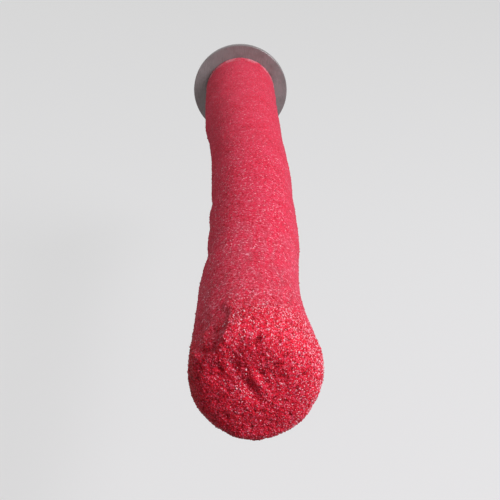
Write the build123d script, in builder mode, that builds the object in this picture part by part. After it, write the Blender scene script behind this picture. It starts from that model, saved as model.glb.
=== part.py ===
"""Clamp-on bird perch: a crooked branch under a coat of dyed grit, with a hanger bolt, washers and a wing nut.

Frame, in millimetres: the origin is where the bolt's axis meets the clamping face of the inner washer.
+Y runs along the stud to the wing nut, -Y along the perch to its free end, and +Z is up.
"""

import os

from build123d import *

# Branch and grit coat
PERCH_LENGTH = 189.1  # butt to the middle of the free end, over the coat
PERCH_DIAMETER = 21.0  # over the coat, where the branch is slimmest
COAT_THICKNESS = 1.5  # grit and binder on the sides
END_COAT = 4.0  # grit and binder over the middle of the free end
END_CROWN = 1.6  # the middle of the free end stands this far past its rim
END_ROUND = 4.2  # the coat's rounded edge at the free end
LIP_ROUND = 0.9  # the coat's rounded edge at the butt
GLUE_LINE = 0.15  # between the wood and its coat
SAWN_EDGE = 1.2  # chamfer round the sawn free end of the wood

# The branch's crooked line and its uneven girth, from the butt to the free end:
# share of the length, sideways, rise, and how much wider and taller it is than PERCH_DIAMETER
STATIONS = [
    (0.00, 0.0, 0.0, 2.4, 2.6),
    (0.10, 0.5, 0.1, 2.2, 2.4),
    (0.22, 1.4, 0.4, 1.5, 1.7),
    (0.34, 2.9, 0.6, 0.1, 0.6),
    (0.46, 4.1, 0.5, -0.2, 0.2),
    (0.57, 4.7, 0.1, -0.4, 0.1),
    (0.68, 4.9, -0.3, -0.2, 0.1),
    (0.78, 4.2, -0.4, -0.2, 0.4),
    (0.86, 4.3, -0.3, 0.7, 1.4),
    (0.94, 5.3, -0.4, 2.9, 3.6),
    (1.00, 5.1, -2.2, 2.9, 3.9),
]

# Hanger bolt: wood screw at one end, machine thread at the other
BOLT_DIAMETER = 6.35
SCREW_LENGTH = 32.0  # in the wood, from the butt to the tip of the point
POINT_LENGTH = 7.0
POINT_TIP = 0.8  # diameter of the blunt tip
NECK_DIAMETER = 5.5  # bare shank between the two threads
NECK_LENGTH = 4.5
STUD_LENGTH = 31.0  # past the clamping face of the inner washer
STUD_CHAMFER = 1.0
SCREW_FIT = 0.05  # between the bolt and the wood that it is screwed into

# Washers
INNER_WASHER_DIAMETER = 31.75
OUTER_WASHER_DIAMETER = 25.4
WASHER_BORE = 7.14
WASHER_THICKNESS = 1.6
WASHER_ROUND = 0.35  # rolled edge on the side that the punch entered
CLAMP_GAP = 5.0  # left between the two washers for what they grip

# Wing nut
BOSS_BASE = 12.4  # diameter at the bearing face
BOSS_TOP = 10.4
BOSS_HEIGHT = 6.6
BOSS_ROUND = 0.6
NUT_CLEARANCE = 0.05  # between the nut's bore and the stud, on the radius
NUT_COUNTERSINK = 0.6
WING_SPAN = 27.8  # tip to tip
WING_HEIGHT = 14.4  # above the bearing face
WING_THICKNESS = 3.8
WING_ROUND = 1.1
WING_TIP_RADIUS = 4.0
WING_TIP_START = -65  # degrees, where the round tip runs into the lower edge
WING_TIP_SWEEP = 235  # degrees, from there round to the inner edge
WING_ROOT_HEIGHT = 1.4  # lower edge at its root, above the bearing face

# Places along the bolt's axis
BUTT = -WASHER_THICKNESS
FREE_END = BUTT - PERCH_LENGTH
OUTER_SEAT = CLAMP_GAP
NUT_SEAT = OUTER_SEAT + WASHER_THICKNESS

os.makedirs("parts", exist_ok=True)


def branch_sections(inset):
    """The ellipse at each station, inset from the coat's outside."""
    sections = []
    for share, sideways, rise, wider, taller in STATIONS:
        with BuildSketch(Plane.XZ.offset(share * PERCH_LENGTH - BUTT)) as section:
            with Locations((sideways, rise)):
                Ellipse((PERCH_DIAMETER + wider) / 2 - inset, (PERCH_DIAMETER + taller) / 2 - inset)
        sections.append(section.sketch.face())
    return sections


def sawn_branch(inset, sawn_end):
    """The crooked branch, inset from the coat's outside and sawn square at this place along the axis."""
    with BuildPart() as branch:
        loft(branch_sections(inset))
        split(bisect_by=Plane.XZ.offset(-sawn_end), keep=Keep.BOTTOM)
    return branch.part


def bolt_profile(grow):
    """Half of the bolt's outline in the XY plane, this much fatter than the bolt all round."""
    radius = BOLT_DIAMETER / 2 + grow
    neck = NECK_DIAMETER / 2 + grow
    tip = BUTT - SCREW_LENGTH - grow
    shoulder = (BOLT_DIAMETER - NECK_DIAMETER) / 2
    stud_end = STUD_LENGTH + grow
    with BuildSketch(Plane.XY) as profile:
        with BuildLine():
            Polyline(
                (0, tip),
                (POINT_TIP / 2 + grow, tip),
                (radius, tip + POINT_LENGTH),
                (radius, BUTT - NECK_LENGTH - shoulder),
                (neck, BUTT - NECK_LENGTH),
                (neck, BUTT - shoulder),
                (radius, BUTT),
                (radius, stud_end - STUD_CHAMFER),
                (radius - STUD_CHAMFER, stud_end),
                (0, stud_end),
                close=True,
            )
        make_face()
    return profile.sketch.face()


# Wooden core, sawn square at both ends and bored for the screw
with BuildPart() as wood_core:
    add(sawn_branch(COAT_THICKNESS + GLUE_LINE, FREE_END + END_COAT + GLUE_LINE))
    chamfer(wood_core.faces().sort_by(Axis.Y)[0].edges(), SAWN_EDGE)
    revolve(bolt_profile(SCREW_FIT), axis=Axis.Y, mode=Mode.SUBTRACT)

# What lies past the ball that crowns the free end
end_sideways, end_rise, end_wider, end_taller = STATIONS[-1][1:]
end_radius = (PERCH_DIAMETER + max(end_wider, end_taller)) / 2
crown_radius = (end_radius**2 + END_CROWN**2) / (2 * END_CROWN)
with BuildPart() as past_crown:
    with Locations((end_sideways, FREE_END, end_rise)):
        Box(4 * end_radius, 4 * END_CROWN, 4 * end_radius)
    with Locations((end_sideways, FREE_END + crown_radius, end_rise)):
        Sphere(crown_radius, mode=Mode.SUBTRACT)

# Grit coat, a sleeve closed over the free end
with BuildPart() as grit_coat:
    loft(branch_sections(0))
    add(past_crown.part, mode=Mode.SUBTRACT)
    fillet(grit_coat.faces().sort_by(Axis.Y)[0].edges(), END_ROUND)
    fillet(grit_coat.faces().sort_by(Axis.Y)[-1].edges(), LIP_ROUND)
    add(sawn_branch(COAT_THICKNESS, FREE_END + END_COAT), mode=Mode.SUBTRACT)

# Hanger bolt
with BuildPart() as hanger_bolt:
    revolve(bolt_profile(0), axis=Axis.Y)


def washer(diameter, seat, rolled_side):
    """A punched washer whose perch-side face is at this place, its rolled edges on the given side of it."""
    with BuildPart() as ring:
        with BuildSketch(Plane.ZX.offset(seat)):
            Circle(diameter / 2)
            Circle(WASHER_BORE / 2, mode=Mode.SUBTRACT)
        extrude(amount=WASHER_THICKNESS)
        fillet(ring.faces().sort_by(Axis.Y)[rolled_side].edges(), WASHER_ROUND)
    return ring


inner_washer = washer(INNER_WASHER_DIAMETER, BUTT, rolled_side=0)
outer_washer = washer(OUTER_WASHER_DIAMETER, OUTER_SEAT, rolled_side=-1)

# One wing of the nut, flat like a petal, its root buried in the boss
boss_end = NUT_SEAT + BOSS_HEIGHT
wing_root = BOSS_TOP / 2 - WING_ROUND
tip_centre = (WING_SPAN / 2 - WING_TIP_RADIUS, NUT_SEAT + WING_HEIGHT - WING_TIP_RADIUS)
with BuildPart() as wing:
    with BuildSketch(Plane.XY):
        with BuildLine():
            tip = CenterArc(tip_centre, WING_TIP_RADIUS, WING_TIP_START, WING_TIP_SWEEP)
            inner_edge = TangentArc(tip @ 1, (wing_root, boss_end - WING_ROUND), tangent=tip % 1)
            lower_edge = TangentArc(tip @ 0, (wing_root, NUT_SEAT + WING_ROOT_HEIGHT), tangent=-(tip % 0))
            Line(inner_edge @ 1, lower_edge @ 1)
        make_face()
    extrude(amount=WING_THICKNESS / 2, both=True)
    fillet(wing.edges().filter_by(Plane.XY), WING_ROUND)

# Wing nut, a tapered boss that carries two wings
with BuildPart() as wing_nut:
    with BuildSketch(Plane.XY):
        with BuildLine():
            Polyline(
                (0, NUT_SEAT),
                (BOSS_BASE / 2, NUT_SEAT),
                (BOSS_TOP / 2, boss_end),
                (0, boss_end),
                close=True,
            )
        make_face()
    revolve(axis=Axis.Y)
    fillet(wing_nut.faces().sort_by(Axis.Y)[-1].edges(), BOSS_ROUND)
    add(wing.part)
    mirror(wing.part, about=Plane.YZ)
    bore = BOLT_DIAMETER / 2 + NUT_CLEARANCE
    with Locations(Plane.ZX.offset(boss_end)):
        CounterSinkHole(radius=bore, counter_sink_radius=bore + NUT_COUNTERSINK, counter_sink_angle=90)
    bearing_face = wing_nut.faces().sort_by(Axis.Y)[0]
    chamfer(bearing_face.edges().sort_by(SortBy.LENGTH)[0], NUT_COUNTERSINK)

PIECES = {
    "wood_core": wood_core,
    "grit_coat": grit_coat,
    "hanger_bolt": hanger_bolt,
    "inner_washer": inner_washer,
    "outer_washer": outer_washer,
    "wing_nut": wing_nut,
}
for name, piece in PIECES.items():
    piece.part.label = name
    export_step(piece.part, f"parts/{name}.step")
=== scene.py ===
"""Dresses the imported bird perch: gritty coat, loose crystals, cut threads, plated hardware, sawn wood.

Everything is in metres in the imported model's frame: the bolt along +Y, the perch along -Y, +Z up.
"""

import math

import bpy
import numpy as np
from mathutils import Matrix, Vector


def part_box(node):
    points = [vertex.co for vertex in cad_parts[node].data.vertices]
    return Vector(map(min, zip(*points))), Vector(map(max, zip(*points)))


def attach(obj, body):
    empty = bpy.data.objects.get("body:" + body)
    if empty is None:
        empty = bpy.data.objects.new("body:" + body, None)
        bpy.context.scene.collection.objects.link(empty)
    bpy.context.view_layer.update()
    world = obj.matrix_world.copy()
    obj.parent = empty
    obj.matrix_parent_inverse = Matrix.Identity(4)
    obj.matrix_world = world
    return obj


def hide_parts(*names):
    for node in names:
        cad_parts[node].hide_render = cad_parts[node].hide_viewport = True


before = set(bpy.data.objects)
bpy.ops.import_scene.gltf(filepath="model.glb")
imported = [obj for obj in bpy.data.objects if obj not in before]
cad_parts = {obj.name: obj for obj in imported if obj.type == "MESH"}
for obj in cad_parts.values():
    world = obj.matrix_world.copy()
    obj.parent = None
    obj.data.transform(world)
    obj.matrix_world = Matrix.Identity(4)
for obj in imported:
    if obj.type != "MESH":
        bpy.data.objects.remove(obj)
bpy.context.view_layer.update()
random = np.random.default_rng(41)
FULL_TURN = 2 * math.pi
SQUARE = np.array([(-1, -1), (1, -1), (1, 1), (-1, 1)])

# Camera of the photograph
CAMERA_PLACE = np.array([4.1e-3, -345.2e-3, 96.2e-3])
CAMERA_PITCH = math.radians(24.41)  # below the horizon
CAMERA_ROLL = math.radians(0.85)
CAMERA_LENS = 74.16  # millimetres, as the sensor's width
CAMERA_SENSOR = 36.0
CAMERA_NEAREST = 10e-3

# Grit coat
COAT_STEP = 0.42e-3  # between rings, and about that between points of a ring
COAT_AROUND = 176  # points of a ring
COAT_RADIUS = 11e-3  # about the mean of the branch
COAT_SINK = 0.22e-3  # the gaps in the grit lie this far under the outside of the CAD node
GLUE_LINE = 0.15e-3
LIP_DEPTH = 1e-3  # of the rounded edge at the butt
LIP_RISE = (0.2e-3, 2.0e-3)  # the relief sets in from here to here along the coat from the lip
END_DEPTH = 8e-3  # of the rounded and crowned free end

# Layers of relief: height, size across, seed
BODY_LUMPS = [(0.24e-3, 13e-3, 5), (0.12e-3, 4e-3, 6)]
CRUST_LUMPS = [(0.25e-3, 5e-3, 7), (0.10e-3, 1.9e-3, 8)]
GRIT_LAYERS = [(0.6, 0.80e-3, 20), (0.4, 0.50e-3, 30)]  # as shares
GRIT_LEVELS = (0.25, 0.95)  # of a gap, and of a crest
GRIT_RISE = 0.12e-3  # of a crest over a gap
CRUST_GRIT_MORE = 0.10e-3  # and this much more on the crust
HOLLOW_SIZE, HOLLOW_SEED = 3.2e-3, 40  # of the sparse hollows in the crust
PIT_LEVELS = (0.94, 0.99)  # a hollow's rim, and its floor
PIT_DEPTH = 0.40e-3
HOLE_SHADE_LEVELS = (0.965, 0.995)  # the rim and the floor of a hole in a hollow, painted dark as shade

# Crust of the second, coarser dip, over the free end and back along the perch
CRUST_REACH = 18.6e-3  # along the coat from the middle of the free end
CRUST_RAGGED = 1.6e-3  # how far its edge wanders
EDGE_LAYERS = [(1.0, 6e-3, 3), (0.6, 2.2e-3, 4)]  # how it wanders, as shares of that
CRUST_THICK = 0.45e-3
CRUST_SOFT = 2.4e-3  # its edge rises from this far behind to this far within
COARSE_BEHIND, COARSE_WITHIN = 2.6, 1.2  # and coarse grit sets in from and to these times as far
CRUST_FADE = 6e-3  # the coat behind it is back at its full height this far on
STRAY_REACH = 22e-3  # stray coarse grit lies as far behind it as this
STRAY_COARSE = 0.35  # and is no coarser than this

# The chip where the crust's edge has broken away, with remnants of the crust on its floor
CHIP_FROM, CHIP_TO = math.radians(118), math.radians(155)  # round from +X, by way of +Z
CHIP_FROM_SOFT, CHIP_TO_SOFT = 0.04, 0.20  # radians over which its sides rise, either way
CHIP_LAYERS = [(0.12, 2.5e-3, 9)]  # how its sides wander, in radians
CHIP_DEPTH = 8.5e-3  # towards the free end
CHIP_THICK = 0.95e-3
CHIP_SOFT = 0.3e-3
REMNANT_SIZE, REMNANT_SEED = 1.6e-3, 11
REMNANT_LEVELS = (0.0, 0.4)  # of its noise, where a remnant begins and where it is whole
REMNANT_FADE = 3e-3
REMNANT_COARSE = 0.85
REMNANT_THICK = 0.3  # of the crust that was there

# Swellings and dents: run along the coat from the lip, degrees from +X up, height, spread
KNOTS = [
    (35.0e-3, 0, -0.50e-3, 3.5e-3),
    (44.0e-3, 180, 0.35e-3, 4.0e-3),
    (62.0e-3, 5, -0.40e-3, 5.0e-3),
    (106.5e-3, 180, -0.70e-3, 4.0e-3),
    (114.5e-3, 178, 0.50e-3, 4.0e-3),
    (139.0e-3, 182, -0.90e-3, 5.0e-3),
    (151.5e-3, 180, 0.20e-3, 5.0e-3),
    (153.6e-3, 88, -0.40e-3, 1.8e-3),
    (158.4e-3, 95, -0.35e-3, 1.8e-3),
    (172.0e-3, 0, -0.35e-3, 4.5e-3),
    (184.5e-3, 128, -0.70e-3, 2.0e-3),
    (187.0e-3, 105, 0.35e-3, 2.2e-3),
    (190.0e-3, 46, 0.45e-3, 3.2e-3),
    (190.0e-3, 72, 0.50e-3, 3.0e-3),
    (190.0e-3, 92, 0.50e-3, 3.0e-3),
    (188.4e-3, 120, 0.80e-3, 2.3e-3),
    (192.6e-3, 121, -0.65e-3, 2.3e-3),
    (191.8e-3, 148, -0.65e-3, 2.6e-3),
    (184.0e-3, 14, 0.40e-3, 4.5e-3),
    (188.0e-3, 226, 0.80e-3, 5.0e-3),
]

# Slanting marks on the face of the free end: height, then place and spread along the slant and across
END_MARKS = [
    (-0.70e-3, 0.0, 2.1e-3, -0.7e-3, 1.0e-3),
    (0.40e-3, -0.4e-3, 2.2e-3, 1.0e-3, 0.8e-3),
]
MARKS_SLANT = (0.55, -0.83)  # the way along the slant, in X and Z
MARKS_RISE = 1.8e-3  # above the middle of the free end
MARKS_REACH, MARKS_FADE = 8e-3, 2e-3  # along the coat from that middle

# How the free end leans
END_SHIFT = -0.30e-3  # along X
END_FALL = 50.0  # a point falls back by this times the square of how far out it is past these lines
FALL_LINES = [(-0.90, -0.43, 4.0e-3), (0.80, 0.60, 6.5e-3)]  # the way out in X and Z, and the start
END_FULL = 5.0  # the lower half stands out by this times the square of how far down it is
FULL_FROM = (-8e-3, -2e-3)  # this fullness sets in from here to here along X
LEAN_REACH, LEAN_FADE = 22e-3, 9e-3  # along the coat from the middle of the free end

# Crystals
CRYSTAL_MOST = 16000  # in one piece
BODY_CRYSTALS, CRUST_CRYSTALS = 4.2e6, 24.0e6  # to the square metre
BODY_CRYSTAL_SIZE, CRUST_CRYSTAL_SIZE = 0.20e-3, 0.21e-3
SIZE_SCATTER = 0.28  # of the logarithm of a size
STANDING = (-0.6, 0.25)  # a crystal's middle lies between these shares of its radius above the binder
CORNER_MOVES = (0.75, 1.35)  # a corner's distance from the middle
STRETCHES = (0.75, 1.25)  # along each of its own axes
MIDDLE_TINT = 0.5
TINT_SPREAD, TINT_DARKEST = 0.93, -0.48  # how wide tints are drawn, and the darkest, from the middle
# Crystals are paler towards the key lamp's side, partly wear and partly painted light, and darker away
# from it, painted shade
LIT_AND_RUBBED_WAY = np.array([0.85, 0.0, 0.35])  # the worn side, also painted paler as lit, faces this way
LEAST_LIT_AND_RUBBED = -0.8
LIT_AND_RUBBED_SPREAD, LIT_AND_RUBBED_PALER, LIT_AND_RUBBED_DUST = 0.25, 0.10, 0.2
BROW_MIDDLE = np.array([2.0e-3, -185.5e-3, 9.2e-3])  # paler around here, on the upper edge of the free end
BROW_SPREAD, BROW_PALER = 4.5e-3, 0.14
# How much darker a crystal in a hole is painted, as shade
HOLE_SHADE_DARKER = 0.4
CALM_TINTS = 0.65  # towards the butt the tints differ less by this share
DUST_SCATTER = 0.12
PALETTE_MARGIN, PALETTE_SPOT = 0.03, 0.003

# Hanger bolt
MACHINE_PITCH, MACHINE_DEPTH = 1.27e-3, 0.72e-3
MACHINE_CREST, MACHINE_FLANK = 0.125, 0.31  # shares of the pitch
SCREW_PITCH, SCREW_DEPTH = 2.54e-3, 0.85e-3
SCREW_CREST, SCREW_FLANK = 0.08, 0.17
PITCH_RINGS = 16  # rings of points to a machine pitch
BOLT_AROUND = 56  # points of a ring
THREAD_RUNOUT = 1.2e-3
NECK_RADIUS, NECK_LENGTH = 2.75e-3, 4.5e-3
POINT_RADIUS, POINT_LENGTH = 0.4e-3, 7.0e-3
STUD_CHAMFER = 1.0e-3
SHOULDER = (-0.2e-3, 0.4e-3)  # from the butt
SHARP_EDGE = math.radians(35)
BOLT_MAP_MARGIN = 0.005

# Bands of the coat's map, for its inside and its outside
INSIDE_BAND, OUTSIDE_BAND = (0.002, 0.030), (0.040, 0.995)

# Where the look of the coat changes along X, Y or Z: from the first place on, and fully by the second
CALM_Y = (-0.150, -0.030)  # calmer towards the butt
WORN_Y = (-0.170, -0.120)  # no longer worn in streaks
FRAYED_Y = (-0.0062, -0.0034)  # frayed at the lip
TOP_Z = (0.002, 0.009)
# Painted light: from here on, the coat's sides grow paler towards +X, the key lamp's side
LIT_RIGHT_X = (-0.004, 0.012)

# Colours of the grit, and for each kind of grain its colours from the darkest to the palest
# The darkest grain, and also the shade painted in the coat's gaps and holes
PIT_SHADE_AND_DARK_GRAIN_RED = (0.22, 0.003, 0.006)
DEEP_RED = (0.60, 0.009, 0.020)
CRIMSON = (0.80, 0.015, 0.042)
ROSE = (0.82, 0.038, 0.088)
EVEN_ROSE = (0.82, 0.080, 0.135)
DUSTED_ROSE = (0.70, 0.085, 0.135)
PINK = (0.86, 0.13, 0.22)
WORN_ROSE = (0.46, 0.105, 0.15)
# Dust at the sides, and painted light on the right side
SIDE_DUST_AND_LIGHT_ROSE = (0.78, 0.13, 0.20)
DUSTY_PINK = (0.92, 0.20, 0.26)
PALE_PINK = (0.96, 0.54, 0.60)
FRESH = [(0.0, PIT_SHADE_AND_DARK_GRAIN_RED), (0.35, CRIMSON), (0.80, CRIMSON), (1.0, PINK)]
FADED = [(0.0, DEEP_RED), (0.30, ROSE), (0.62, ROSE), (0.93, PINK), (1.0, PALE_PINK)]
DUSTY = [(0.0, ROSE), (0.45, DUSTY_PINK), (0.80, DUSTY_PINK), (1.0, PALE_PINK)]
RUBBED = [(0.0, DEEP_RED), (0.40, WORN_ROSE), (0.75, WORN_ROSE), (1.0, PALE_PINK)]
QUARTZ = [(0.0, PIT_SHADE_AND_DARK_GRAIN_RED), (0.18, DEEP_RED), (0.55, CRIMSON), (0.83, PINK), (0.95, PALE_PINK)]

# Colours of the rest
ZINC = (0.44, 0.43, 0.42)
# Darker zinc for the washers, partly painted shade
DARKER_ZINC = (0.26, 0.225, 0.22)
EARLY_WOOD = (0.62, 0.42, 0.23)
LATE_WOOD = (0.40, 0.24, 0.11)
WOOD_PORE = (0.26, 0.15, 0.07)

# Stage and light
FLOOR_DROP, FLOOR_REACH = 90e-3, 4.0
FLOOR_GREY = (0.25, 0.25, 0.25)
FLOOR_GLOW = (0.55, 0.55, 0.55)  # where it is seen
LOW_SKY = (0.105, 0.105, 0.102)
HIGH_SKY = (0.34, 0.34, 0.332)
SKY_SEEN = (0.72, 0.72, 0.72)
SKY_RISE = (-0.1, 1.0)  # heights of the low and the high sky
LIT_PLACE = np.array([0.0, -0.1, 0.0])  # the lamps face the middle of the perch


def hashed(cells, seed):
    """A number from 0 to 1 for each row of three whole numbers: products with large primes, mixed
    by shifts."""
    primes = np.array([73856093, 19349663, 83492791], np.int64)
    low_bits = 0xFFFFFFFF
    mixed = (cells.astype(np.int64) * primes).sum(-1) + seed * 2654435761
    mixed = (mixed ^ (mixed >> 13)) * 1274126177 & low_bits
    mixed = (mixed ^ (mixed >> 15)) * 2246822519 & low_bits
    return (mixed ^ (mixed >> 16)) / (low_bits + 1)


def soft_noise(places, size, seed):
    """Smooth noise from -1 to 1: random corner values of a cubic grid, blended along each axis by
    3t^2 - 2t^3."""
    low = np.floor(places / size)
    part = places / size - low
    part = part * part * (3 - 2 * part)
    total = 0
    for corner in np.ndindex(2, 2, 2):
        share = np.where(corner, part, 1 - part).prod(-1)
        total = total + share * hashed(low + corner, seed)
    return 2 * total - 1


def pebbles(places, size, seed):
    """Packed round tops from 0 to 1: one less the squared distance to the nearest of the points
    that are scattered one to a cell of a cubic grid."""
    low = np.floor(places / size)
    nearest = np.full(places.shape[:-1], np.inf)
    for step in np.ndindex(3, 3, 3):
        cell = low + step - 1
        middle = np.stack([hashed(cell, seed + k) for k in range(3)], -1)
        nearest = np.minimum(nearest, ((cell + middle - places / size) ** 2).sum(-1))
    return np.clip(1 - nearest, 0, 1)


def layered(noise, places, layers):
    """The sum of layers of a noise, each a height, a size and a seed."""
    return sum(height * noise(places, size, seed) for height, size, seed in layers)


def smooth_step(value, low, high):
    """0 below low, 1 above high, and 3t^2 - 2t^3 between."""
    part = np.clip((value - low) / (high - low), 0, 1)
    return part * part * (3 - 2 * part)


def bell(height, *gaps):
    """The height times exp of less the sum of the squared gaps, each in shares of its spread."""
    return height * np.exp(-sum(gap**2 for gap in gaps))


def put_mesh(name, points, *faces):
    """A new piece from an array of points and one or more arrays of faces, each of one corner
    count."""
    mesh = bpy.data.meshes.new(name)
    mesh.vertices.add(len(points))
    mesh.vertices.foreach_set("co", np.asarray(points, np.float32).ravel())
    corners = np.concatenate([f.ravel() for f in faces])
    counts = np.concatenate([np.full(len(f), f.shape[1]) for f in faces])
    mesh.loops.add(len(corners))
    mesh.loops.foreach_set("vertex_index", corners.astype(np.int32))
    mesh.polygons.add(len(counts))
    mesh.polygons.foreach_set("loop_start", (np.cumsum(counts) - counts).astype(np.int32))
    mesh.update(calc_edges=True)
    mesh.validate()
    piece = bpy.data.objects.new(name, mesh)
    bpy.context.scene.collection.objects.link(piece)
    return piece


def put_values(piece, name, values):
    """One number for each point of the piece, for its material to read."""
    attribute = piece.data.attributes.new(name, "FLOAT", "POINT")
    attribute.data.foreach_set("value", np.asarray(values, np.float32).ravel())


def put_map(piece, places):
    """The piece's own map: a place in it for each corner of each face."""
    layer = piece.data.uv_layers.new(name="OFBake")
    layer.data.foreach_set("uv", places.astype(np.float32).ravel())


def ring_faces(rings, around):
    """Quads between neighbouring rings of points, wrapped round, then a fan of triangles at each
    pole. The poles are the two points after the last ring."""
    row = np.arange(rings - 1)[:, None] * around
    here = np.arange(around)[None, :]
    after = (here + 1) % around
    next_row = row + around
    quads = np.stack([row + here, row + after, next_row + after, next_row + here], -1).reshape(-1, 4)
    here, after = here[0], after[0]
    last = (rings - 1) * around
    first_pole = np.full(around, rings * around)
    fans = np.concatenate(
        [
            np.stack([first_pole, after, here], -1),
            np.stack([first_pole + 1, last + here, last + after], -1),
        ]
    )
    return quads, fans


def put_unrolled_map(piece, up, around):
    """A map that unrolls a tube of rings: across it goes the turn, with the seam at the map's edge,
    and up it each ring's share."""
    left = np.arange(around) / around
    middle, right = left + 0.5 / around, left + 1 / around
    level = np.zeros(around)
    low, high = up[:-1, None] + level, up[1:, None] + level
    wide = np.broadcast_to(np.stack([left, right, right, left], -1), (*low.shape, 4))
    quads = np.stack([wide, np.stack([low, low, high, high], -1)], -1)
    fans = []
    poles = [(0.0, up[0], (middle, right, left)), (1.0, up[-1], (middle, left, right))]
    for pole, ring, corners in poles:
        heights = (pole + level, ring + level, ring + level)
        fans.append(np.stack([np.stack(corners, -1), np.stack(heights, -1)], -1))
    put_map(piece, np.concatenate([part.reshape(-1, 2) for part in (quads, *fans)]))


class Cuts:
    """Where planes across the bolt's axis cut a CAD node: the middle and half-size of each cut, in
    X and Z."""

    def __init__(self, node, places):
        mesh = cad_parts[node].data
        points = np.zeros(len(mesh.vertices) * 3)
        mesh.vertices.foreach_get("co", points)
        mesh.calc_loop_triangles()
        corners = np.zeros(len(mesh.loop_triangles) * 3, np.int32)
        mesh.loop_triangles.foreach_get("vertices", corners)
        triangles = points.reshape(-1, 3)[corners].reshape(-1, 3, 3)
        starts = triangles.reshape(-1, 3)
        ends = np.roll(triangles, -1, axis=1).reshape(-1, 3)
        boxes = [self.box_at(starts, ends, y) for y in places]
        low, high = np.array(boxes).transpose(1, 0, 2)
        self.middle = (low + high) / 2
        self.half = (high - low) / 2

    @staticmethod
    def box_at(starts, ends, y):
        """Least and greatest X and Z of the points where the triangles' edges cross the plane."""
        crosses = (starts[:, 1] - y) * (ends[:, 1] - y) < 0
        a, b = starts[crosses], ends[crosses]
        share = (y - a[:, 1]) / (b[:, 1] - a[:, 1])
        spots = (a + share[:, None] * (b - a))[:, [0, 2]]
        return spots.min(0), spots.max(0)


def rings_from(places, middle, half, around):
    """Rings of points, each an ellipse in the plane across the bolt's axis at its place, from +X up
    to +Z."""
    turn = np.linspace(0, FULL_TURN, around, endpoint=False)
    x = middle[:, :1] + half[:, :1] * np.cos(turn)
    z = middle[:, 1:] + half[:, 1:] * np.sin(turn)
    y = np.broadcast_to(places[:, None], x.shape)
    return np.stack([x, y, z], -1)


def outward(rings):
    """Unit normals of a grid of rings: the step round crossed with the step along."""
    along = np.gradient(rings, axis=0)
    around = np.roll(rings, -1, 1) - np.roll(rings, 1, 1)
    normal = np.cross(around, along)
    return normal / np.maximum(np.linalg.norm(normal, axis=-1, keepdims=True), 1e-12)


def outside_rings():
    """Rings over the outside of the coat as the CAD node has it: round the lip, along the side,
    round the free end's edge and over its crown. Cuts that crowd together as the square towards
    either end give the profile, and the rings stand at equal steps along it. Returns the rings, and
    how far along the profile each one is from the lip."""
    low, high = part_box("grit_coat")
    hair, end_cuts, side_cuts = 3e-6, 90, 500
    crowd = np.linspace(0, 1, end_cuts) ** 2
    lip = high.y - hair - (LIP_DEPTH - hair) * crowd
    side = np.linspace(high.y - LIP_DEPTH, low.y + END_DEPTH, side_cuts)[1:-1]
    end = low.y + hair + (END_DEPTH - hair) * crowd[::-1]
    places = np.concatenate([lip, side, end])
    cuts = Cuts("grit_coat", places)
    steps = np.hypot(np.diff(places), np.diff(cuts.half.mean(1)))
    along = np.concatenate([[0], np.cumsum(steps)])
    run = np.linspace(0, along[-1], round(along[-1] / COAT_STEP))
    even = [np.interp(run, along, values) for values in (places, *cuts.middle.T, *cuts.half.T)]
    rings = rings_from(even[0], np.stack(even[1:3], -1), np.stack(even[3:], -1), COAT_AROUND)
    return rings, run[:, None]


def inside_rings():
    """Rings over the inside of the coat, from its closed end back to the butt: the wood with the
    glue line round it, but without the chamfer at the closed end."""
    low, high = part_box("wood_core")
    hair, past_chamfer, side_cuts = 2e-6, 1.5e-3, 40
    places = np.linspace(low.y + past_chamfer, high.y - hair, side_cuts)
    cuts = Cuts("wood_core", places)
    rings = rings_from(places, cuts.middle, cuts.half + GLUE_LINE, COAT_AROUND)
    shares = np.linspace(0.15, 1, 6)[:, None]  # of the way from the closed end's middle to its edge
    closed = rings_from(
        np.full(len(shares), low.y - GLUE_LINE),
        np.repeat(cuts.middle[:1], len(shares), 0),
        (cuts.half[0] + GLUE_LINE) * shares,
        COAT_AROUND,
    )
    return np.concatenate([closed, rings])


def knot_relief(run, turn):
    """Bell-shaped swellings and dents, each by the gap to its place, along and round the coat."""
    total = 0
    for place, angle, height, spread in KNOTS:
        round_gap = (turn - math.radians(angle) + math.pi) % FULL_TURN - math.pi
        gap = np.hypot(run - place, round_gap * COAT_RADIUS)
        total = total + bell(height, gap / spread)
    return total


def end_relief(rings, to_middle):
    """The face of the free end: a bell-shaped slanting dent, and a ridge along the dent's right
    side."""
    on_face = smooth_step(MARKS_REACH - to_middle, 0, MARKS_FADE)
    middle = rings[-1].mean(0)
    x = rings[..., 0] - middle[0]
    z = rings[..., 2] - middle[2] - MARKS_RISE
    right, up = MARKS_SLANT
    along = right * x + up * z
    across = right * z - up * x
    total = 0
    for height, along_place, along_spread, across_place, across_spread in END_MARKS:
        along_gap = (along - along_place) / along_spread
        total = total + bell(height, along_gap, (across - across_place) / across_spread)
    return on_face * total


def end_lean(rings, to_middle):
    """How far the points of the free end lean along X, Y and Z: a small shift, a fall back that
    grows as the square towards the -X edge and the upper +X edge, and a fullness that grows as the
    square towards the lowest edge."""
    on_end = smooth_step(LEAN_REACH - to_middle, 0, LEAN_FADE)
    x, _, z = np.moveaxis(rings - rings[-1].mean(0), -1, 0)
    out = sum(np.maximum(right * x + up * z - start, 0) for right, up, start in FALL_LINES)
    down = np.maximum(-z, 0) * smooth_step(x, *FULL_FROM)
    back = END_FALL * out**2 - END_FULL * down**2
    return np.stack([END_SHIFT + 0 * back, back, 0 * back], -1) * on_end[..., None]


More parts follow.
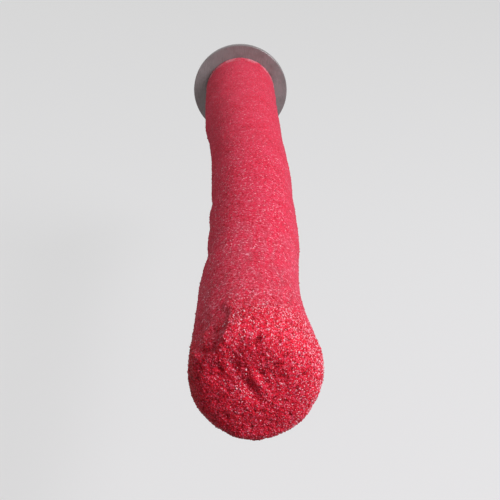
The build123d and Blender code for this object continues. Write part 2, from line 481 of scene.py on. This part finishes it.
def crust_cover(rings, turn, to_middle):
    """The crust lies between the middle of the free end and a ragged edge, which the chip brings
    closer to that middle. Returns for each point, from 0 to 1, how far it is in the chip, how much
    of it the crust covers, how much of it a remnant covers, and how coarse the grit is."""
    bend = turn + layered(soft_noise, rings, CHIP_LAYERS)
    begun = smooth_step(bend, CHIP_FROM - CHIP_FROM_SOFT, CHIP_FROM + CHIP_FROM_SOFT)
    ended = smooth_step(bend, CHIP_TO - CHIP_TO_SOFT, CHIP_TO + CHIP_TO_SOFT)
    chip = begun - ended
    within_whole = CRUST_REACH + CRUST_RAGGED * layered(soft_noise, rings, EDGE_LAYERS) - to_middle
    within = within_whole - CHIP_DEPTH * chip
    clumps = smooth_step(soft_noise(rings, REMNANT_SIZE, REMNANT_SEED), *REMNANT_LEVELS)
    remnant = chip * smooth_step(within_whole, 0, REMNANT_FADE) * clumps
    soft = CRUST_SOFT + (CHIP_SOFT - CRUST_SOFT) * chip
    crust = smooth_step(within, -soft, soft)
    coarse = smooth_step(within, -COARSE_BEHIND * soft, COARSE_WITHIN * soft)
    coarse = np.maximum(coarse, STRAY_COARSE * smooth_step(within, -STRAY_REACH, 0))
    coarse = np.maximum(coarse, REMNANT_COARSE * remnant)
    return chip, crust, remnant, coarse


def coat_grid():
    """The coat's outside with its relief along its normals: lumps, or on the crust its own lumps
    and hollows; a step down behind the crust's edge, less where a remnant is; crests of grit;
    knots, and marks on the free end. Returns its rings, each ring's share of the way along them,
    and for each point how coarse the grit is, its height from 0 in a gap or hole to 1 on a crest,
    which the coat's colour uses for painted shade, and how far it is in a hole, where shade is
    painted darkest."""
    rings, run = outside_rings()
    turn = np.linspace(0, FULL_TURN, COAT_AROUND, endpoint=False)[None, :]
    to_middle = run[-1] - run
    chip, crust, remnant, coarse = crust_cover(rings, turn, to_middle)
    hollows = pebbles(rings, HOLLOW_SIZE, HOLLOW_SEED)
    pits = -PIT_DEPTH * smooth_step(hollows, *PIT_LEVELS)
    # Holes in the crust's hollows, where shade is painted dark
    hole_shade = crust * smooth_step(hollows, *HOLE_SHADE_LEVELS)
    lumps = layered(soft_noise, rings, BODY_LUMPS)
    crust_lumps = layered(soft_noise, rings, CRUST_LUMPS)
    step = CRUST_THICK + (CHIP_THICK - CRUST_THICK) * chip
    behind = smooth_step(CRUST_REACH + CRUST_FADE - to_middle, 0, CRUST_FADE) * (1 - crust)
    height = smooth_step(layered(pebbles, rings, GRIT_LAYERS), *GRIT_LEVELS)
    relief = lumps + (crust_lumps + pits - lumps) * crust
    relief = relief - step * behind * (1 - REMNANT_THICK * remnant) - COAT_SINK
    relief = relief + (GRIT_RISE + CRUST_GRIT_MORE * coarse) * height
    relief = relief + knot_relief(run, turn) + end_relief(rings, to_middle)
    relief = relief * smooth_step(run, *LIP_RISE)
    raised = rings + outward(rings) * relief[..., None] + end_lean(rings, to_middle)
    return raised, run / run[-1], coarse, height * (1 - hole_shade), hole_shade


def make_coat():
    """One closed sleeve: up the inside from its closed end, round the lip, and down the outside to
    the free end. Returns it, and the rings of its outside with how coarse their grit is and how far
    they are in a hole, where shade is painted."""
    outside, share, coarse, height, hole_shade = coat_grid()
    inside = inside_rings()
    rings = np.concatenate([inside, outside])
    poles = np.stack([inside[0].mean(0), outside[-1].mean(0)])
    points = np.concatenate([rings.reshape(-1, 3), poles])
    quads, fans = ring_faces(len(rings), COAT_AROUND)
    piece = put_mesh("grit_coat_surface", points, quads, fans)
    hidden = np.zeros(inside.shape[:2])
    for name, values in (("coarse", coarse), ("height", height)):
        at_poles = [0.0, values[-1].mean()]
        put_values(piece, name, np.concatenate([hidden.ravel(), values.ravel(), at_poles]))
    low, high = OUTSIDE_BAND
    bands = [np.linspace(*INSIDE_BAND, len(inside)), low + (high - low) * share.ravel()]
    put_unrolled_map(piece, np.concatenate(bands), COAT_AROUND)
    return piece, outside, coarse, hole_shade


def strew(rings, density):
    """Spots drawn at random over the cells of a grid of rings, by each cell's area and how many to
    the square metre it takes. Returns each spot's cell, its place and its outward unit normal."""
    here, after = rings[:-1], rings[1:]
    corners = [here, np.roll(here, -1, 1), np.roll(after, -1, 1), after]
    a, b, c, d = (corner.reshape(-1, 3) for corner in corners)
    across = np.cross(c - a, d - b)
    area = np.linalg.norm(across, axis=-1) / 2
    weight = area * density
    count = int(weight.sum())
    cell = np.sort(random.choice(len(weight), count, p=weight / weight.sum()))
    u, v = random.random((2, count, 1))
    place = (a[cell] * (1 - u) + b[cell] * u) * (1 - v) + (d[cell] * (1 - u) + c[cell] * u) * v
    return cell, place, across[cell] / (2 * area[cell][:, None])


def crystal_shape():
    """The eight corners of a cube of unit radius and its six faces."""
    corners = (np.array(list(np.ndindex(2, 2, 2))) * 2 - 1) / 3**0.5
    faces = [(0, 1, 3, 2), (4, 6, 7, 5), (0, 4, 5, 1), (2, 3, 7, 6), (0, 2, 6, 4), (1, 5, 7, 3)]
    return corners, np.array(faces)


def turned_at_random(count):
    """Rotation matrices spread evenly over all turns, from unit quaternions."""
    quaternions = random.normal(size=(4, count))
    w, x, y, z = quaternions / np.linalg.norm(quaternions, axis=0)
    rows = [
        [1 - 2 * (y * y + z * z), 2 * (x * y - w * z), 2 * (x * z + w * y)],
        [2 * (x * y + w * z), 1 - 2 * (x * x + z * z), 2 * (y * z - w * x)],
        [2 * (x * z - w * y), 2 * (y * z + w * x), 1 - 2 * (x * x + y * y)],
    ]
    return np.array(rows).transpose(2, 0, 1)


def crystal_values(middle, normal, coarse, hole_shade):
    """Two numbers from 0 to 1 for each crystal. Its tint, from dark to pale, is drawn at random
    about a middle one: on the crust wider and paler on the side towards the key lamp and darker
    away from it, partly wear and partly painted light, and paler on the brow; painted darker in a
    hole, as shade; and less spread towards the butt. Its dust is less the coarser the grit is, and
    more on the side towards the key lamp."""
    calm = smooth_step(middle[:, 1], *CALM_Y)
    # Painted light: paler towards the key lamp, darker away from it, besides some wear
    lit_and_rubbed = np.clip(normal @ LIT_AND_RUBBED_WAY, LEAST_LIT_AND_RUBBED, 1)
    brow = bell(1, *((middle - BROW_MIDDLE) / BROW_SPREAD).T)
    spread = TINT_SPREAD + LIT_AND_RUBBED_SPREAD * lit_and_rubbed * coarse
    paler = (LIT_AND_RUBBED_PALER * lit_and_rubbed + BROW_PALER * brow) * coarse - HOLE_SHADE_DARKER * hole_shade
    drawn = spread * random.random(len(middle)) + TINT_DARKEST + paler
    tint = MIDDLE_TINT + drawn * (1 - CALM_TINTS * calm)
    dust = 1 - coarse + LIT_AND_RUBBED_DUST * lit_and_rubbed + random.normal(0, DUST_SCATTER, len(middle))
    return np.clip(tint, 0, 1), np.clip(dust, 0, 1)


def make_crystals(rings, coarse, hole_shade):
    """Angular crystals strewn over the coat, denser on the crust: each a cube with its corners
    moved in or out at random, stretched, turned and sunk in the binder."""
    coarse, hole_shade = coarse[:-1].ravel(), hole_shade[:-1].ravel()
    density = BODY_CRYSTALS + (CRUST_CRYSTALS - BODY_CRYSTALS) * coarse
    cell, middle, normal = strew(rings, density)
    coarse, hole_shade = coarse[cell], hole_shade[cell]
    count = len(cell)
    size = BODY_CRYSTAL_SIZE + (CRUST_CRYSTAL_SIZE - BODY_CRYSTAL_SIZE) * coarse
    radius = size / 2 * np.exp(random.normal(0, SIZE_SCATTER, count))
    middle = middle + normal * (radius * random.uniform(*STANDING, count))[:, None]
    shape, faces = crystal_shape()
    local = shape[None] * random.uniform(*CORNER_MOVES, (count, len(shape), 1))
    local = local * random.uniform(*STRETCHES, (count, 1, 3)) * radius[:, None, None]
    points = middle[:, None] + np.einsum("nij,nkj->nki", turned_at_random(count), local)
    tint, dust = crystal_values(middle, normal, coarse, hole_shade)
    pieces = []
    for number, first in enumerate(range(0, count, CRYSTAL_MOST), 1):
        chosen = slice(first, min(first + CRYSTAL_MOST, count))
        held = points[chosen]
        starts = np.arange(len(held))[:, None, None] * len(shape)
        quads = (starts + faces).reshape(-1, 4)
        piece = put_mesh(f"coat_crystals_{number}", held.reshape(-1, 3), quads)
        put_values(piece, "tint", np.repeat(tint[chosen], len(shape)))
        put_values(piece, "dust", np.repeat(dust[chosen], len(shape)))
        put_palette(piece, tint[chosen], dust[chosen], len(faces))
        pieces.append(piece)
    return pieces


def put_palette(piece, across, up, faces):
    """A map that lays every face of a crystal on the spot of a palette that its two values give."""
    middle = PALETTE_MARGIN + (1 - 2 * PALETTE_MARGIN) * np.stack([across, up], -1)
    put_map(piece, np.repeat(middle, faces, 0)[:, None] + PALETTE_SPOT * SQUARE)


def thread_profile(phase, crest, flank):
    """Depth from 0 at the crest to 1 at the root over one pitch: a flat crest and root joined by
    straight flanks."""
    away = np.abs((phase + 0.5) % 1 - 0.5)
    return np.clip((away - crest / 2) / flank, 0, 1)


def make_bolt():
    """The hanger bolt as one surface of revolution whose radius also follows the helix of whichever
    thread is there: a V thread on the stud, and a wide-rooted wood screw that tapers to a point.
    Right-handed about +Y."""
    low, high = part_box("hanger_bolt")
    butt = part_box("grit_coat")[1].y
    crest = (high.x - low.x) / 2
    y = np.append(np.arange(low.y, high.y, MACHINE_PITCH / PITCH_RINGS), high.y)[:, None]
    turn = np.linspace(0, FULL_TURN, BOLT_AROUND, endpoint=False)[None, :]
    stud = smooth_step(y, butt, butt + THREAD_RUNOUT)
    machine = thread_profile(y / MACHINE_PITCH - turn / FULL_TURN, MACHINE_CREST, MACHINE_FLANK)
    stud_radius = crest - MACHINE_DEPTH * machine * stud
    stud_radius = np.minimum(stud_radius, crest - STUD_CHAMFER + np.maximum(high.y - y, 0))
    screw = thread_profile(y / SCREW_PITCH - turn / FULL_TURN, SCREW_CREST, SCREW_FLANK)
    neck_end = butt - NECK_LENGTH
    in_wood = 1 - smooth_step(y, neck_end - THREAD_RUNOUT, neck_end)
    taper = np.clip((y - low.y) / POINT_LENGTH, 0, 1)
    screw_radius = POINT_RADIUS + (crest - POINT_RADIUS) * taper - SCREW_DEPTH * screw * taper
    screw_radius = NECK_RADIUS + (screw_radius - NECK_RADIUS) * in_wood
    shoulder = smooth_step(y, butt + SHOULDER[0], butt + SHOULDER[1])
    on_stud = NECK_RADIUS + (stud_radius - NECK_RADIUS) * shoulder
    radius = np.where(shoulder > 0, on_stud, screw_radius)
    rings = np.stack([radius * np.sin(turn), y + 0 * turn, radius * np.cos(turn)], -1)
    poles = np.array([[0, low.y, 0], [0, high.y, 0]])
    quads, fans = ring_faces(len(rings), BOLT_AROUND)
    points = np.concatenate([rings.reshape(-1, 3), poles])
    piece = put_mesh("hanger_bolt_threaded", points, quads, fans)
    piece.data.shade_smooth()
    piece.data.set_sharp_from_angle(angle=SHARP_EDGE)
    share = (y.ravel() - low.y) / (high.y - low.y)
    put_unrolled_map(piece, BOLT_MAP_MARGIN + (1 - 2 * BOLT_MAP_MARGIN) * share, BOLT_AROUND)
    return piece


class Number:
    """A value in a material's node tree. Sums, differences and products of such values add Math
    nodes."""

    def __init__(self, finish, socket):
        self.finish = finish
        self.socket = socket

    def __add__(self, other):
        return self.finish.maths("ADD", self, other)

    def __radd__(self, other):
        return self.finish.maths("ADD", other, self)

    def __rsub__(self, other):
        return self.finish.maths("SUBTRACT", other, self)

    def __mul__(self, other):
        return self.finish.maths("MULTIPLY", self, other)

    def __rmul__(self, other):
        return self.finish.maths("MULTIPLY", other, self)

    def between(self, low, high):
        """0 below low, 1 above high, and smooth between."""
        settings = {"interpolation_type": "SMOOTHSTEP"}
        sockets = {"Value": self, "From Min": low, "From Max": high}
        return self.finish.node("ShaderNodeMapRange", settings, sockets)


class Finish:
    """A procedural material, or the sky: its node tree, and short ways to add to it."""

    def __init__(self, name, kept_in=bpy.data.materials, shader="Principled BSDF"):
        self.material = kept_in.new(name)
        self.material.use_nodes = True
        self.tree = self.material.node_tree
        self.shader = self.tree.nodes[shader]
        self.coordinates = self.tree.nodes.new("ShaderNodeTexCoord")
        self.place = self.coordinate("Object")

    def coordinate(self, kind):
        """Where a spot is, in coordinates of this kind."""
        return Number(self, self.coordinates.outputs[kind])

    def node(self, kind, settings=None, sockets=None, output=0):
        """Adds a node: its settings first, a ramp's stops among them, then its sockets' values or
        links."""
        made = self.tree.nodes.new(kind)
        for name, value in (settings or {}).items():
            if name == "stops":
                self.set_stops(made.color_ramp, value)
            else:
                setattr(made, name, value)
        for name, value in (sockets or {}).items():
            self.feed(made.inputs[name], value)
        return Number(self, made.outputs[output])

    @staticmethod
    def set_stops(ramp, stops):
        """Gives a new ramp its stops, adding to the two that it has."""
        while len(ramp.elements) < len(stops):
            ramp.elements.new(1.0)
        for element, (position, colour) in zip(ramp.elements, stops, strict=True):
            element.position = position
            element.color = (*colour, 1)

    def feed(self, socket, value):
        """Links a Number to a socket, or sets a plain value on it."""
        if isinstance(value, Number):
            self.tree.links.new(value.socket, socket)
        elif socket.type == "RGBA":
            socket.default_value = (*value, 1)
        else:
            socket.default_value = value

    def maths(self, operation, first, second):
        """What one Math node makes of two values."""
        return self.node("ShaderNodeMath", {"operation": operation}, {0: first, 1: second})

    def mix(self, share, first, second):
        """The first colour at share 0, and the second at share 1."""
        sockets = {0: share, 6: first, 7: second}
        return self.node("ShaderNodeMix", {"data_type": "RGBA"}, sockets, output=2)

    def attribute(self, name):
        """The number that put_values gave the piece's points."""
        return self.node("ShaderNodeAttribute", {"attribute_name": name}, output="Fac")

    def axis(self, vector, name):
        """A vector's X, Y or Z."""
        return self.node("ShaderNodeSeparateXYZ", None, {"Vector": vector}, output=name)

    def noise(self, size, detail=2.0, place=None):
        """Cloudy noise whose blotches are about this many metres across."""
        sockets = {"Vector": place or self.place, "Scale": 1 / size, "Detail": detail}
        return self.node("ShaderNodeTexNoise", None, sockets)

    def cells(self, size, output="Distance"):
        """Cells about this many metres across: the distance to a cell's middle, or its random
        colour."""
        sockets = {"Vector": self.place, "Scale": 1 / size}
        return self.node("ShaderNodeTexVoronoi", None, sockets, output)

    def grains(self, size):
        """Cells about this many metres across, each with its own random number from 0 to 1."""
        sockets = {"Color": self.cells(size, "Color")}
        return self.node("ShaderNodeSeparateColor", None, sockets, output="Red")

    def ramp(self, value, stops):
        """A colour that goes through the stops, each a value and its colour, in order."""
        return self.node("ShaderNodeValToRGB", {"stops": stops}, {"Fac": value}, output="Color")

    def stretched(self, scale):
        """The place, scaled by these three numbers."""
        return self.node("ShaderNodeMapping", None, {"Vector": self.place, "Scale": scale})

    def bump(self, height, depth, strength):
        """Bumps this many metres deep where the height goes from 0 to 1, shown at this strength."""
        sockets = {"Height": height, "Distance": depth, "Strength": strength}
        self.set(Normal=self.node("ShaderNodeBump", None, sockets))

    def seen_plainly(self):
        """1 where it is seen, also in a mirror or through glass, and 0 where it only lights other
        things."""
        rays = ("Camera", "Glossy", "Transmission")
        return sum(self.node("ShaderNodeLightPath", output=f"Is {kind} Ray") for kind in rays)

    def set(self, **sockets):
        """Sets the shader's own sockets, named with _ for a space."""
        for name, value in sockets.items():
            self.feed(self.shader.inputs[name.replace("_", " ")], value)


def grit_finish():
    """Dyed binder between the crystals: painted dark with shade in the gaps between its crests and in
    holes, crimson on the crust, dusty rose on the body. The body is more even towards the butt,
    dustier at its sides, paler still towards the right as painted light from that side, and pale
    where its lip is frayed. Behind the crust it is worn in streaks on top and pale with dust at the
    sides."""
    grit = Finish("dyed_grit")
    x, y, z = (grit.axis(grit.place, name) for name in "XYZ")
    coarse = grit.attribute("coarse")
    height = grit.attribute("height")
    grain = grit.grains(0.30e-3)
    speck = grit.cells(0.45e-3)
    cloud = grit.noise(7e-3, detail=4.0)
    dust = (1 - coarse) * (0.55 + 0.9 * cloud).between(0.3, 1.3)
    on_top = z.between(*TOP_Z)
    # Dust on both sides, and more towards +X as painted light from the key lamp
    side_dust_and_light = (0.12 + 0.38 * x.between(*LIT_RIGHT_X)) * (1 - on_top)
    frayed = y.between(*FRAYED_Y) * grit.noise(5e-3).between(0.42, 0.58)
    body = grit.mix(0.5 * y.between(*CALM_Y), grit.ramp(grain, FADED), EVEN_ROSE)
    body = grit.mix(side_dust_and_light, body, SIDE_DUST_AND_LIGHT_ROSE)
    body = grit.mix(0.7 * frayed, body, PALE_PINK)
    streaks = grit.noise(1.6e-3, 3.0, grit.stretched((1.0, 0.22, 1.0))).between(0.35, 0.75)
    streaks = (1 - y.between(*WORN_Y)) * streaks
    worn = grit.mix(on_top, grit.ramp(grain, DUSTY), grit.ramp(grain, RUBBED))
    body = grit.mix((0.80 + 0.10 * on_top) * streaks, body, worn)
    colour = grit.mix(dust, grit.ramp(grain, FRESH), body)
    # Painted shade: darker towards the darkest red in the gaps between crests and in holes
    out_of_pit_shade = (0.9 * height + 0.3 * speck + 0.35 * dust).between(0.0, 0.75)
    grit.set(Base_Color=grit.mix(out_of_pit_shade, PIT_SHADE_AND_DARK_GRAIN_RED, colour))
    grit.set(Roughness=0.85 - 0.2 * coarse, Specular_IOR_Level=0.12)
    grit.bump(grit.cells(0.26e-3) + 0.6 * grit.noise(0.15e-3), depth=0.10e-3, strength=0.7)
    return grit.material


def crystal_finish():
    """Dyed quartz: crimson grains of many depths, some nearly clear and pale, dusted over on the
    worn body."""
    crystal = Finish("dyed_crystals")
    tint = crystal.attribute("tint")
    dust = crystal.attribute("dust")
    dusted = dust * (0.80 - 0.50 * tint.between(0.75, 0.95))
    crystal.set(Base_Color=crystal.mix(dusted, crystal.ramp(tint, QUARTZ), DUSTED_ROSE))
    crystal.set(Roughness=0.24 + 0.4 * dust, Specular_IOR_Level=0.16)
    return crystal.material


def plated_finish(name, colour, roughness, oxide):
    """Dull zinc plating on pressed steel: blotches of oxide, which is no metal, and fine tumbling
    scratches."""
    plate = Finish(name)
    blotch = plate.noise(4.0e-3)
    scratch = plate.noise(0.10e-3, place=plate.stretched((1.0, 0.35, 0.06)))
    dark = tuple(0.85 * part for part in colour)
    plate.set(Base_Color=plate.mix(blotch.between(0.3, 0.7), dark, colour))
    plate.set(Metallic=1 - oxide * blotch.between(0.0, 0.5))
    plate.set(Roughness=roughness + 0.08 * blotch + 0.06 * scratch)
    plate.bump(scratch + 0.4 * blotch, depth=0.02e-3, strength=0.35)
    return plate.material


def wood_finish():
    """Pale sawn wood with growth rings about the bolt's axis and fine pores along it."""
    wood = Finish("sawn_wood")
    rings = wood.node(
        "ShaderNodeTexWave",
        {"wave_type": "RINGS", "rings_direction": "Y"},
        {"Vector": wood.place, "Scale": 160.0, "Distortion": 3.0, "Detail": 2.0},
        output="Fac",
    )
    pores = wood.noise(0.35e-3, place=wood.stretched((1.0, 0.08, 1.0)))
    colour = wood.mix(rings, EARLY_WOOD, LATE_WOOD)
    wood.set(Base_Color=wood.mix(pores.between(0.5, 0.75), colour, WOOD_PORE), Roughness=0.75)
    wood.bump(pores, depth=0.05e-3, strength=0.5)
    return wood.material


def dress(piece, material):
    """Puts one material on a new piece or a CAD node."""
    if not piece.material_slots:
        piece.data.materials.append(material)
    for slot in piece.material_slots:
        slot.material = material


def make_floor():
    """A wide pale floor some way under the perch."""
    points = np.column_stack([FLOOR_REACH * SQUARE, np.full(len(SQUARE), -FLOOR_DROP)])
    floor = put_mesh("floor", points, np.array([[0, 1, 2, 3]]))
    pale = Finish("pale_floor")
    glow = pale.mix(pale.seen_plainly(), (0, 0, 0), FLOOR_GLOW)
    pale.set(Base_Color=FLOOR_GREY, Roughness=0.9, Specular_IOR_Level=0.1)
    pale.set(Emission_Color=glow, Emission_Strength=1.0)
    dress(floor, pale.material)


def put_lamp(name, direction, distance, size, energy, colour):
    """A square soft lamp that faces the middle of the perch from this direction and distance."""
    lamp = bpy.data.lights.new(name, "AREA")
    lamp.size = size
    lamp.energy = energy
    lamp.color = colour
    holder = bpy.data.objects.new(name, lamp)
    place = LIT_PLACE + distance * np.array(direction) / np.linalg.norm(direction)
    holder.matrix_world = facing(place, LIT_PLACE - place)
    holder.visible_camera = False
    bpy.context.scene.collection.objects.link(holder)


def make_lights():
    """A large soft lamp from the right and in front, a weak one from the left and behind, and a sky
    that is lightest overhead, but shows as one plain grey."""
    key, fill = (0.63, -0.49, 0.62), (-0.85, 0.55, 0.14)
    put_lamp("soft_key", key, distance=0.95, size=0.45, energy=9.2, colour=(1.0, 0.98, 1.06))
    put_lamp("soft_fill", fill, distance=1.8, size=0.48, energy=3.6, colour=(1.0, 1.0, 1.0))
    sky = Finish("soft_sky", bpy.data.worlds, "Background")
    height = sky.axis(sky.coordinate("Generated"), "Z")
    light = sky.mix(height.between(*SKY_RISE), LOW_SKY, HIGH_SKY)
    sky.set(Color=sky.mix(sky.seen_plainly(), light, SKY_SEEN), Strength=1.0)
    bpy.context.scene.world = sky.material


def facing(place, way, roll=0.0):
    """The matrix of a lamp or camera at a place, looking that way, with horizontals leaning down to
    its right by roll."""
    way = way / np.linalg.norm(way)
    right = np.cross(way, (0, 0, 1))
    right = right / np.linalg.norm(right)
    down = np.cross(way, right)
    across = math.cos(roll) * right - math.sin(roll) * down
    below = math.sin(roll) * right + math.cos(roll) * down
    rows = np.column_stack([across, -below, -way, place]).tolist()
    return Matrix([*rows, [0, 0, 0, 1]])


def make_camera():
    """The photograph's camera."""
    data = bpy.data.cameras.new("camera")
    data.lens = CAMERA_LENS
    data.sensor_width = CAMERA_SENSOR
    data.clip_start = CAMERA_NEAREST
    camera = bpy.data.objects.new("camera", data)
    way = np.array([0, math.cos(CAMERA_PITCH), -math.sin(CAMERA_PITCH)])
    camera.matrix_world = facing(CAMERA_PLACE, way, CAMERA_ROLL)
    bpy.context.scene.collection.objects.link(camera)
    bpy.context.scene.camera = camera


coat, coat_rings, coat_coarse, coat_hole_shade = make_coat()
dress(coat, grit_finish())
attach(coat, "perch")
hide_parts("grit_coat")

crystal_material = crystal_finish()
for crystals in make_crystals(coat_rings, coat_coarse, coat_hole_shade):
    dress(crystals, crystal_material)
    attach(crystals, "perch")

bolt = make_bolt()
dress(bolt, plated_finish("plated_bolt", ZINC, roughness=0.36, oxide=0.4))
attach(bolt, "perch")
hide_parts("hanger_bolt")

washer_material = plated_finish("plated_washer", DARKER_ZINC, roughness=0.20, oxide=0.85)
dress(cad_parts["inner_washer"], washer_material)
dress(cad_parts["outer_washer"], washer_material)
dress(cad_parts["wing_nut"], plated_finish("plated_nut", ZINC, roughness=0.42, oxide=0.5))
dress(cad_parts["wood_core"], wood_finish())

make_floor()
make_lights()
make_camera()
bpy.context.scene.view_settings.view_transform = "Standard"
